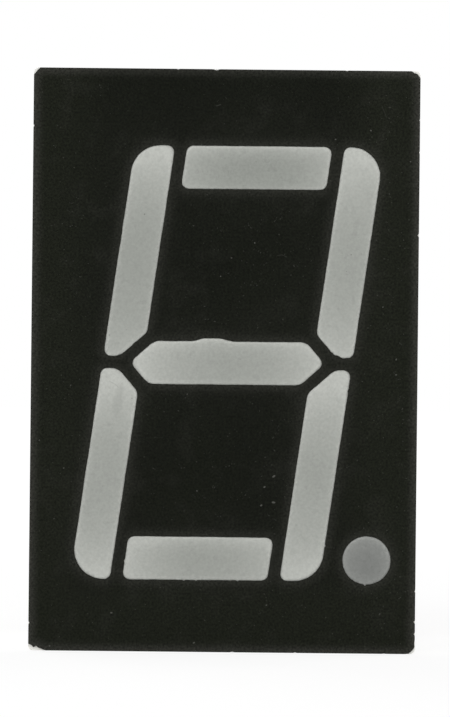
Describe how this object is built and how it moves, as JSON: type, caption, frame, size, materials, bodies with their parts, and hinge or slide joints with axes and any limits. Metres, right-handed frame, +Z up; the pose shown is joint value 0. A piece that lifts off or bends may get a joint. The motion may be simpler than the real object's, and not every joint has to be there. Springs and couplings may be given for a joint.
{
  "type": "seven segment display",
  "caption": "Numeric LED display: a black face with slanted grey light bars and a decimal point, on a white moulded body with round pins behind.",
  "frame": {"origin": "middle of the rear rim, in the plane that seats on a circuit board, centred on the pins", "axes": "+X to the right and +Z up as the digit is read from the front; +Y from the face to the back, along the pins"},
  "size_m": [0.0126, 0.014, 0.019],
  "materials": {
    "white_plastic": "fine moulded satin",
    "black_ink": "matt screen print with dust specks and chipped corners",
    "grey_resin": "cast diffusing resin, smooth and slightly cloudy",
    "clear_resin": "cast potting resin, glossy, faintly yellow",
    "board_laminate": "woven glass laminate",
    "copper": "plated copper",
    "silver_adhesive": "silver filled adhesive",
    "semiconductor": "sawn wafer chip",
    "gold": "drawn gold wire",
    "tinned_metal": "hot tinned wire",
    "solder": "soldered fillet"
  },
  "bodies": {
    "root": {"reflector_housing": "white_plastic", "face_print": "black_ink", "segment_a": "grey_resin", "segment_b": "grey_resin", "segment_c": "grey_resin", "segment_d": "grey_resin", "segment_e": "grey_resin", "segment_f": "grey_resin", "segment_g": "grey_resin", "decimal_point": "grey_resin", "circuit_board": "board_laminate", "tracks_common": "copper", "tracks_segments": "copper", "chip_adhesive": "silver_adhesive", "solder_joints": "solder", "rear_potting": "clear_resin", "led_chip_a": "semiconductor", "led_chip_b": "semiconductor", "led_chip_c": "semiconductor", "led_chip_d": "semiconductor", "led_chip_e": "semiconductor", "led_chip_f": "semiconductor", "led_chip_g": "semiconductor", "led_chip_dp": "semiconductor", "bond_wire_a": "gold", "bond_wire_b": "gold", "bond_wire_c": "gold", "bond_wire_d": "gold", "bond_wire_e": "gold", "bond_wire_f": "gold", "bond_wire_g": "gold", "bond_wire_dp": "gold", "pin_1": "tinned_metal", "pin_2": "tinned_metal", "pin_3": "tinned_metal", "pin_4": "tinned_metal", "pin_5": "tinned_metal", "pin_6": "tinned_metal", "pin_7": "tinned_metal", "pin_8": "tinned_metal", "pin_9": "tinned_metal", "pin_10": "tinned_metal"}
  },
  "joints": []
}
